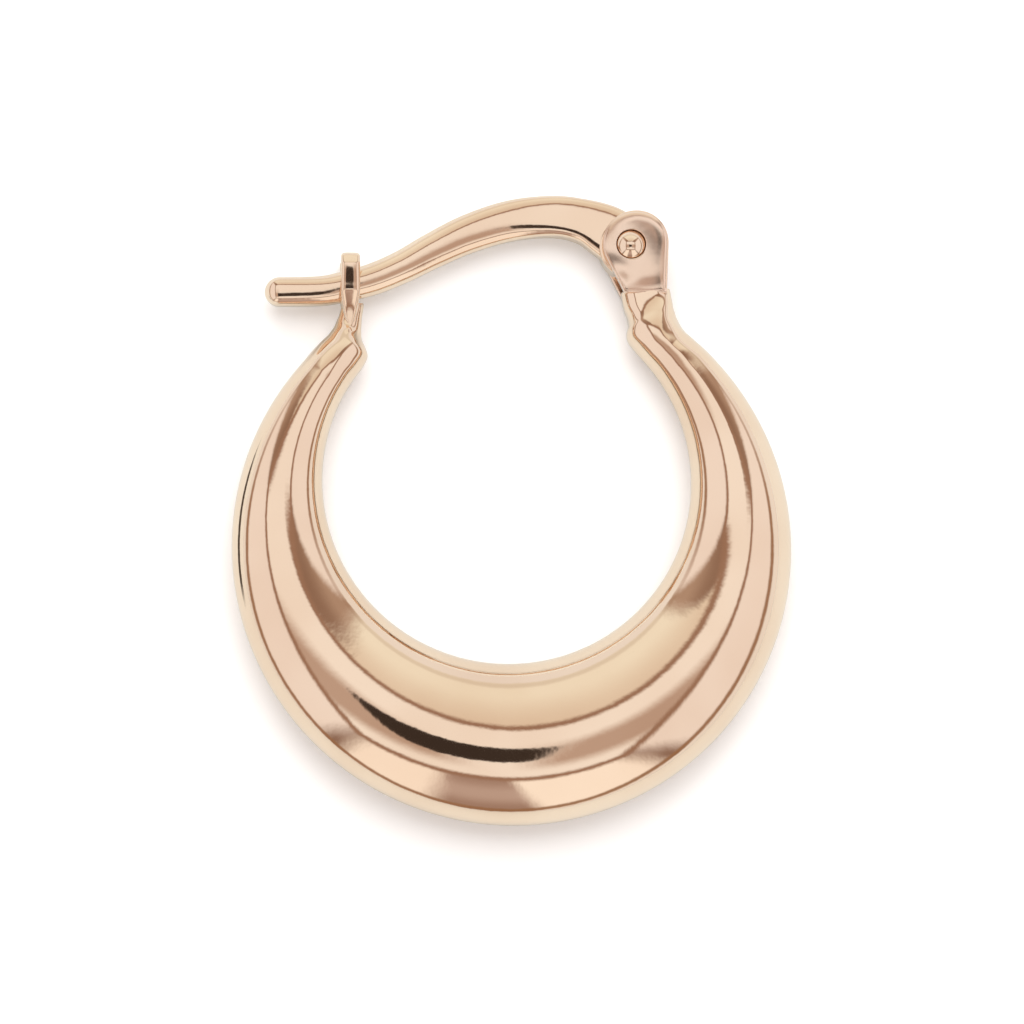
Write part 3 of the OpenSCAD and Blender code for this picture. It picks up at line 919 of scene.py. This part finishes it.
def inset(path, amount):
    """Moves a closed path inwards by an amount, square to itself"""
    moved = []
    for i, here in enumerate(path):
        along = (path[(i + 1) % len(path)] - path[i - 1]).normalized()
        moved.append(here + Vector((-along.y, along.x, 0)) * amount)
    return moved


def lifted(path, height):
    return [p + Vector((0, 0, height)) for p in path]


print("points round a plate:", len(plate_outline()))

# %% [markdown]
# A stamped face is never flat. It rolls off towards its edge, it curls up to one
# side like a dish, and the hammer that closed the rivet left two shallow dents.
# These few hundredths of a millimetre make all the soft shading on it.

# %% Face of a hinge plate
# The roll at the edge is deepest towards the upper right
ROLL_WIDTH = 0.34
ROLL_DROP = 0.12
ROLL_LEAST = 0.25
ROLL_WAY = Vector((0.8, 0.6, 0))
# The dish curls up along this way, from a little before the rivet
DISH_TURN = radians(38)
DISH_WAY = Vector((cos(DISH_TURN), sin(DISH_TURN), 0))
DISH_START = 0.15
DISH_CURL = 0.20
# The whole face is a little twisted: its left half leans up, its right half down
FACE_TWIST = 0.03
# Dents, with the columns x, y, length, width, turn and depth
DENTS = (
    (3.50, 9.36, 0.50, 0.34, radians(-35), -0.055),
    (4.62, 8.74, 0.60, 0.22, radians(6), -0.045),
)


def face_height(place, to_edge):
    """Height of the plate's face over its flat, for a place and its distance to the edge"""
    away = place - PLATE_HEAD
    rightness = 0.5 + 0.5 * away.dot(ROLL_WAY) / max(away.length, LEAST)
    near = min(max(1 - to_edge / ROLL_WIDTH, 0), 1)
    height = -ROLL_DROP * mix(ROLL_LEAST, 1, rightness) * (1 - sqrt(1 - near * near))
    from_pin = place - pin
    past = max(from_pin.dot(DISH_WAY) + DISH_START, 0)
    height += DISH_CURL * past * past / 2
    height += FACE_TWIST * from_pin.x * from_pin.y
    for x, y, length, width, turn, depth in DENTS:
        off = place - Vector((x, y, 0))
        along = (off.x * cos(turn) + off.y * sin(turn)) / length
        square = (off.y * cos(turn) - off.x * sin(turn)) / width
        height += depth * exp(-along * along - square * square)
    return height


print("face beside the rivet, in mm over its flat:", round(face_height(pin + ROLL_WAY * 0.6, 0.4), 3))

# %% [markdown]
# A plate is skinned over rings of points. They run up its side over a small
# rounded edge, in across the face, and down into the round seat that the
# rivet's head sinks into. The back plate is the front one turned over.

# %% Hinge plates
PLATE_EDGE = 0.05
BACK_EDGE_STEPS = 4
FACE_EDGE_STEPS = 5
FACE_RINGS = 28
# The seat's radius and depth, and its rings as shares of the radius and drops
SINK_R = 0.505
SINK_DEPTH = 0.10
SINK_RINGS = ((0.985, 0.012), (0.975, 0.035), (0.97, SINK_DEPTH), (0.6, SINK_DEPTH))


def quarter_turns(steps):
    """Angles from 0 to a right angle"""
    return [pi / 2 * i / steps for i in range(steps + 1)]


def ring_skin(name, rings, finish):
    """A closed skin over rings of points, fanned shut at both ends"""
    work = bmesh.new()
    rows = [[work.verts.new(p) for p in ring] for ring in rings]
    for low, high in zip(rows, rows[1:]):
        for j in range(len(low)):
            k = (j + 1) % len(low)
            work.faces.new((low[j], low[k], high[k], high[j]))
    for row in (rows[0], rows[-1]):
        hub = work.verts.new(sum((v.co for v in row), Vector()) / len(row))
        for j in range(len(row)):
            work.faces.new((row[j], row[(j + 1) % len(row)], hub))
    bmesh.ops.recalc_face_normals(work, faces=work.faces)
    for face in work.faces:
        face.smooth = True
    mesh = bpy.data.meshes.new(name)
    work.to_mesh(mesh)
    work.free()
    mesh.materials.append(finish)
    return mesh


def plate_rings(bottom, top):
    outline = plate_outline()
    rings = [lifted(inset(outline, PLATE_EDGE), bottom)]
    for a in quarter_turns(BACK_EDGE_STEPS):
        path = inset(outline, PLATE_EDGE * (1 - sin(a)))
        rings.append(lifted(path, bottom + PLATE_EDGE * (1 - cos(a))))
    for a in quarter_turns(FACE_EDGE_STEPS):
        path = inset(outline, PLATE_EDGE * (1 - cos(a)))
        height = top - PLATE_EDGE * (1 - sin(a))
        rings.append([p + Vector((0, 0, height + face_height(p, 0))) for p in path])
    flat = inset(outline, PLATE_EDGE)
    hole = [pin + (p - pin).normalized() * SINK_R for p in flat]
    for i in range(1, FACE_RINGS + 1):
        ring = []
        for p, q in zip(flat, hole):
            place = p.lerp(q, i / FACE_RINGS)
            ring.append(place + Vector((0, 0, top + face_height(place, (place - p).length))))
        rings.append(ring)
    for reach, drop in SINK_RINGS:
        rings.append(lifted([pin + (q - pin) * reach for q in hole], top - drop))
    return rings


def turned_over(mesh):
    """A copy of a mesh, mirrored to the back of the hoop"""
    other = mesh.copy()
    other.transform(Matrix.Scale(-1, 4, (0, 0, 1)))
    other.flip_normals()
    return other


front_plate = ring_skin("front_plate", plate_rings(GAP_HALF, HINGE_HALF), plate_gold)
back_plate = turned_over(front_plate)
print("faces of a plate:", len(front_plate.polygons))

# %% [markdown]
# Between the plates' feet lies a saddle of rough metal, hollowed round for the
# knuckle to turn in. It is a slab with rounded edges. The two plates and the
# saddle are then joined into one piece that keeps both finishes.

# %% Saddle of the hinge
KNUCKLE_R = 1.05
KNUCKLE_ROOM = 0.15
SADDLE_FOOT = (Vector((4.02, 8.52, 0)), Vector((5.08, 8.52, 0)), Vector((5.02, 8.92, 0)))
SADDLE_TURNS = (0.72, 0.08)
SADDLE_STEPS = 12
SADDLE_LAP = 0.02
SADDLE_EDGE = 0.03
SLAB_STEPS = 5


def slab_rings(outline, half, edge):
    """Rings of a slab with rounded edges, from its back face to its front face"""
    turns = quarter_turns(SLAB_STEPS)
    rings = []
    for side, order in ((-1, turns), (1, reversed(turns))):
        for a in order:
            path = inset(outline, edge * (1 - sin(a)))
            rings.append(lifted(path, side * (half - edge * (1 - cos(a)))))
    return rings


def joined(name, meshes):
    """One piece made of several meshes, each with its own finish"""
    work = bmesh.new()
    finishes = []
    for mesh in meshes:
        first = len(work.faces)
        work.from_mesh(mesh)
        work.faces.ensure_lookup_table()
        if mesh.materials[0] not in finishes:
            finishes.append(mesh.materials[0])
        for face in work.faces[first:]:
            face.material_index = finishes.index(mesh.materials[0])
    whole = bpy.data.meshes.new(name)
    work.to_mesh(whole)
    work.free()
    for finish in finishes:
        whole.materials.append(finish)
    return in_frame(name, whole)


saddle_r = KNUCKLE_R + KNUCKLE_ROOM
saddle_path = list(SADDLE_FOOT)
for i in range(SADDLE_STEPS + 1):
    a = mix(*SADDLE_TURNS, i / SADDLE_STEPS)
    saddle_path.append(pin + saddle_r * Vector((sin(a), -cos(a), 0)))
# The saddle's finish is darkened as painted shade for the gap between the plates.
saddle = ring_skin("saddle", slab_rings(saddle_path, GAP_HALF + SADDLE_LAP, SADDLE_EDGE), saddle_shade_gold)
hinge_plates = joined("hinge_plates", [front_plate, back_plate, saddle])
print("hinge plate faces:", len(hinge_plates.data.polygons))

# %% [markdown]
# The catch is a little fork. The ear wire snaps down between its two prongs. A
# prong is a flat bar with rounded top corners that tapers down into the neck.
# The rows bow its face outwards and lean its foot back, and the loft tree gives
# it soft edges, so a prong is a very short tube to it.

# %% Prongs of the catch
CATCH_X = 5.42
PRONG_TOP = 9.79
PRONG_CORNER = 0.13
PRONG_SIDES = 64
PRONG_SQUARENESS = 3.6
PRONG_STEPS = 8
# How the top corner rounds the back face, leans the front face and rounds it
TOP_STEPS = 12
TOP_BACK = 0.05
TOP_LEAN = 0.05
TOP_ROUND = 0.16
# Columns, from the foot up: height, width, height of the back face, of the front face
PRONG_ROWS = (
    (7.28, 0.04, 0.02, 0.42),
    (7.42, 0.19, 0.03, 0.475),
    (7.66, 0.37, 0.06, 0.55),
    (8.00, 0.53, 0.20, 0.68),
    (8.36, 0.63, 0.50, 0.85),
    (8.50, 0.645, 0.55, 0.925),
    (8.60, 0.64, 0.55, 0.945),
    (8.80, 0.64, 0.55, 0.968),
    (9.00, 0.64, 0.55, 1.002),
    (9.20, 0.64, 0.55, 1.030),
    (9.36, 0.64, 0.55, 1.044),
    (9.42, 0.64, 0.55, 1.040),
    (9.52, 0.64, 0.55, 1.004),
    (9.64, 0.64, 0.55, 0.955),
)


def prong_section(y, width, back, front):
    middle = Vector((-CATCH_X, y, (back + front) / 2))
    half = Vector((width / 2, 0, 0))
    return middle - half, middle + half, (front - back) / 2


prong_sections = [prong_section(*row) for row in smooth_rows(PRONG_ROWS, PRONG_STEPS)]
top_y, top_width, top_back, top_front = PRONG_ROWS[-1]
for a in quarter_turns(TOP_STEPS)[1:]:
    y = mix(top_y, PRONG_TOP, sin(a))
    width = top_width - 2 * PRONG_CORNER * (1 - cos(a))
    back = top_back + TOP_BACK * (1 - cos(a))
    front = top_front - TOP_LEAN * sin(a) - TOP_ROUND * (1 - cos(a))
    prong_sections.append(prong_section(y, width, back, front))
prong_spine = spine_mesh("prong_spine", capped(prong_sections))
prong_inputs = ((sides_socket, PRONG_SIDES), (square_socket, PRONG_SQUARENESS), (finish_socket, wire_gold))
front_prong = bake("front_prong", prong_spine, loft, prong_inputs)
back_prong = turned_over(front_prong)
print("prong stations:", len(prong_spine.vertices))

# %% [markdown]
# The bottom of the fork is a round seat for the ear wire. Its side view is one
# closed path, and two copies of that path, a prong's width apart, give its skin.

# %% Seat of the catch
FORK_SEAT = 8.13
FORK_GAP_HALF = 0.55
PRONG_W = 0.64
PRONG_FOOT_W = 0.36
PRONG_FOOT_Y = 7.45
SEAT_FOOT_HALF = 0.20
SEAT_SIDE_RISE = 0.50
SEAT_SIDE_HALF = 0.68
SEAT_MARGIN = 0.02
SEAT_STEPS = 24

side_y = FORK_SEAT + SEAT_SIDE_RISE
seat_path = [(PRONG_FOOT_Y, -SEAT_FOOT_HALF), (PRONG_FOOT_Y, SEAT_FOOT_HALF), (side_y, SEAT_SIDE_HALF)]
for i in range(SEAT_STEPS + 1):
    a = pi * i / SEAT_STEPS
    seat_path.append((FORK_SEAT + FORK_GAP_HALF * (1 - sin(a)), FORK_GAP_HALF * cos(a)))
seat_path.append((side_y, -SEAT_SIDE_HALF))

seat_rings = []
for way in (-1, 1):
    ring = []
    for y, z in seat_path:
        t = min(max((y - PRONG_FOOT_Y) / (FORK_SEAT - PRONG_FOOT_Y), 0), 1)
        wide = mix(PRONG_FOOT_W, PRONG_W, t) / 2 - SEAT_MARGIN
        ring.append(Vector((-CATCH_X + way * wide, y, z)))
    seat_rings.append(ring)
fork_seat = ring_skin("fork_seat", seat_rings, wire_gold)
catch = joined("forked_catch", [front_prong, back_prong, fork_seat])
print("catch faces:", len(catch.data.polygons))

# %% [markdown]
# The rivet is a shank with a low dome at each end. A dome is part of a large
# sphere, and its rings grow smaller towards its top.

# %% Dome of the rivet
PIN_R = 0.38
PIN_HEAD_R = 0.47
PIN_HEAD_RISE = 0.20
RECESS = 0.05
FIXED_GAP = 0.01
HEAD_SIDES = 64
DOME_STEPS = 14
# The first rings: how much smaller than the head, and their height at its seat
HEAD_FOOT = ((0.02, -0.04), (0.0, -0.03), (0.0, 0.01))

rise = PIN_HEAD_RISE + RECESS - FIXED_GAP
dome_r = (PIN_HEAD_R ** 2 + rise ** 2) / (2 * rise)
dome_turn = acos((dome_r - rise) / dome_r)
seat_z = HINGE_HALF - RECESS + FIXED_GAP


def round_ring(radius, z, count):
    turns = [2 * pi * i / count for i in range(count)]
    return [Vector((radius * cos(a), radius * sin(a), z)) for a in turns]


head_rings = [round_ring(PIN_HEAD_R - less, z, HEAD_SIDES) for less, z in HEAD_FOOT]
for i in range(1, DOME_STEPS):
    a = dome_turn * (1 - i / DOME_STEPS)
    head_rings.append(round_ring(dome_r * sin(a), rise - dome_r * (1 - cos(a)), HEAD_SIDES))
head_mesh = ring_skin("rivet_head", head_rings, wire_gold)
print("radius of the dome's sphere in mm:", round(dome_r, 3))

# %% [markdown]
# Both heads are one shape, so a tree places an instance of it on each of two
# points. It turns an instance by half a turn times its number, so the first one
# stays as it is and the second one is turned over.

# %% Rivet
head_shape = new_object("rivet_head_shape", head_mesh)
rivets = bpy.data.node_groups.new("rivet_heads", "GeometryNodeTree")
rivets.is_modifier = True
group_socket(rivets, "Points", "INPUT", "Geometry")
head_socket = group_socket(rivets, "Head", "INPUT", "Object")
rivet_finish = group_socket(rivets, "Finish", "INPUT", "Material")
group_socket(rivets, "Heads", "OUTPUT", "Geometry")
rivets_in = add_node(rivets, "NodeGroupInput")
rivets_out = add_node(rivets, "NodeGroupOutput")
head_info = add_node(rivets, "GeometryNodeObjectInfo")
join(rivets, rivets_in.outputs["Head"], head_info.inputs["Object"])
turn_over = add_node(rivets, "ShaderNodeCombineXYZ")
which = add_node(rivets, "GeometryNodeInputIndex").outputs["Index"]
join(rivets, calc(rivets, "MULTIPLY", which, pi), turn_over.inputs["X"])
put = add_node(rivets, "GeometryNodeInstanceOnPoints")
join(rivets, rivets_in.outputs["Points"], put.inputs["Points"])
join(rivets, head_info.outputs["Geometry"], put.inputs["Instance"])
join(rivets, turn_over.outputs[0], put.inputs["Rotation"])
rivet_real = add_node(rivets, "GeometryNodeRealizeInstances")
join(rivets, put.outputs[0], rivet_real.inputs["Geometry"])
rivet_dressed = add_node(rivets, "GeometryNodeSetMaterial")
join(rivets, rivet_real.outputs[0], rivet_dressed.inputs["Geometry"])
join(rivets, rivets_in.outputs["Finish"], rivet_dressed.inputs["Material"])
join(rivets, rivet_dressed.outputs[0], rivets_out.inputs["Heads"])

head_points = bpy.data.meshes.new("rivet_points")
head_points.from_pydata([(PIN_X, PIN_Y, seat_z), (PIN_X, PIN_Y, -seat_z)], [], [])
rivet_inputs = ((head_socket, head_shape), (rivet_finish, wire_gold))
heads_mesh = bake("rivet_heads", head_points, rivets, rivet_inputs)
bpy.data.objects.remove(head_shape)

SHANK_LAP = 0.02
shank_half = seat_z + SHANK_LAP
shank_rings = [round_ring(PIN_R, z, HEAD_SIDES) for z in (-shank_half, shank_half)]
shank_mesh = ring_skin("shank", shank_rings, wire_gold)
shank_mesh.transform(Matrix.Translation(pin))
heads = joined("hinge_rivet", [heads_mesh, shank_mesh])
print("rivet faces:", len(heads.data.polygons))

# %% [markdown]
# The ear wire is a bent bar. Its soft square section is rounder near the catch,
# where a pierced ear slides over it, and flatter towards the hinge. It was bent
# by hand, so its face is also turned a few degrees, and less so near the hinge.
# A few measured rows and a smooth curve through them give its spine, a quarter
# round closes its tip, and the loft tree gives its skin.

# %% Bar of the ear wire
# Columns: how far left of the pin, how far above it, height, depth, squareness, turn
WIRE_ROWS = (
    (11.75, -1.57, 0.98, 0.98, 3.1, -3.5),
    (10.40, -1.53, 1.00, 0.98, 2.8, -4.0),
    (9.60, -1.38, 1.04, 0.98, 2.4, -4.8),
    (8.60, -1.10, 1.08, 0.97, 2.3, -5.0),
    (7.60, -0.66, 1.12, 0.96, 2.3, -5.0),
    (6.60, -0.11, 1.21, 0.95, 2.4, -4.8),
    (5.40, 0.47, 1.31, 0.94, 2.6, -3.8),
    (4.00, 0.92, 1.38, 0.93, 3.0, -2.0),
    (2.60, 1.07, 1.38, 0.92, 4.4, 0.4),
    (1.60, 0.93, 1.46, 0.90, 5.0, 1.0),
    (0.85, 0.62, 1.74, 0.87, 5.0, 0.5),
    (0.20, 0.20, 1.84, 0.84, 5.0, 0.0),
)
WIRE_STEPS = 12
WIRE_SIDES = 96
WIRE_SQUARENESS = 3.1
TIP_RINGS = 14
TIP_PINCH = 0.9


def wire_station(middle, way, height, depth, turn):
    """A station whose front face is turned up by an angle in degrees"""
    lean = Matrix.Rotation(radians(-turn), 3, way)
    reach = lean @ Vector((-way.y, way.x, 0)) * height / 2
    return middle + reach, middle - reach, lean @ Vector((0, 0, depth / 2))


wire_path = smooth_rows(WIRE_ROWS, WIRE_STEPS)
wire_places = [pin + Vector((-row[0], row[1], 0)) for row in wire_path]
tip_way = (wire_places[1] - wire_places[0]).normalized()
tip_half = wire_path[0][2] / 2

wire_stations = []
wire_shifts = []
for i in range(TIP_RINGS):
    a = pi / 2 * i / TIP_RINGS
    spot = wire_places[0] - tip_way * tip_half * cos(a)
    size = 2 * tip_half * sin(a)
    wire_stations.append(wire_station(spot, tip_way, size, size, wire_path[0][5]))
    wire_shifts.append((0, 0, TIP_PINCH * (1 - i / TIP_RINGS)))
last_place = len(wire_places) - 1
for i, row in enumerate(wire_path):
    wire_way = (wire_places[min(i + 1, last_place)] - wire_places[max(i - 1, 0)]).normalized()
    wire_stations.append(wire_station(wire_places[i], wire_way, row[2], row[3], row[5]))
    wire_shifts.append((0, 0, WIRE_SQUARENESS - row[4]))
wire_stations.append((wire_places[-1], wire_places[-1], Vector((0, 0, 0))))
wire_shifts.append((0, 0, 0))

wire_spine = spine_mesh("wire_spine", wire_stations, wire_shifts)
wire_inputs = ((sides_socket, WIRE_SIDES), (square_socket, WIRE_SQUARENESS), (finish_socket, wire_gold))
wire_mesh = bake("ear_wire_bar", wire_spine, loft, wire_inputs)
print("ear wire stations:", len(wire_spine.vertices))

# %% [markdown]
# The bar ends in the knuckle, a round disc with a hole for the rivet. Rings of
# points follow its profile out of the hole, over two soft edges and back in
# again, so the disc has no ends to close.

# %% Knuckle of the ear wire
KNUCKLE_HALF = 0.45
BORE_R = 0.43
KNUCKLE_EDGE = 0.08
KNUCKLE_STEPS = 6
KNUCKLE_SIDES = 96

edge_turns = quarter_turns(KNUCKLE_STEPS)
knuckle_profile = [(BORE_R, -KNUCKLE_HALF)]
for side, order in ((-1, edge_turns), (1, reversed(edge_turns))):
    for a in order:
        radius = KNUCKLE_R - KNUCKLE_EDGE * (1 - sin(a))
        knuckle_profile.append((radius, side * (KNUCKLE_HALF - KNUCKLE_EDGE * (1 - cos(a)))))
knuckle_profile.append((BORE_R, KNUCKLE_HALF))

knuckle_work = bmesh.new()
knuckle_rings = []
for radius, z in knuckle_profile:
    knuckle_rings.append([knuckle_work.verts.new(p) for p in round_ring(radius, z, KNUCKLE_SIDES)])
for low, high in zip(knuckle_rings, knuckle_rings[1:] + knuckle_rings[:1]):
    for j in range(KNUCKLE_SIDES):
        k = (j + 1) % KNUCKLE_SIDES
        knuckle_work.faces.new((low[j], low[k], high[k], high[j]))
bmesh.ops.recalc_face_normals(knuckle_work, faces=knuckle_work.faces)
knuckle_mesh = bpy.data.meshes.new("knuckle")
knuckle_work.to_mesh(knuckle_mesh)
knuckle_work.free()
knuckle_mesh.transform(Matrix.Translation(pin))
knuckle_mesh.materials.append(wire_gold)
wire = joined("ear_wire_bar", [wire_mesh, knuckle_mesh])
print("ear wire faces:", len(wire.data.polygons))

# %% [markdown]
# Each piece now says which body it moves with. The plain solids stay hidden in
# the file for the physics.

for piece in (tube, hinge_plates, catch, heads):
    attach(piece, "hoop")
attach(wire, "ear_wire")
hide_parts("hoop")
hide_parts("hinge_pin")
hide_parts("ear_wire")
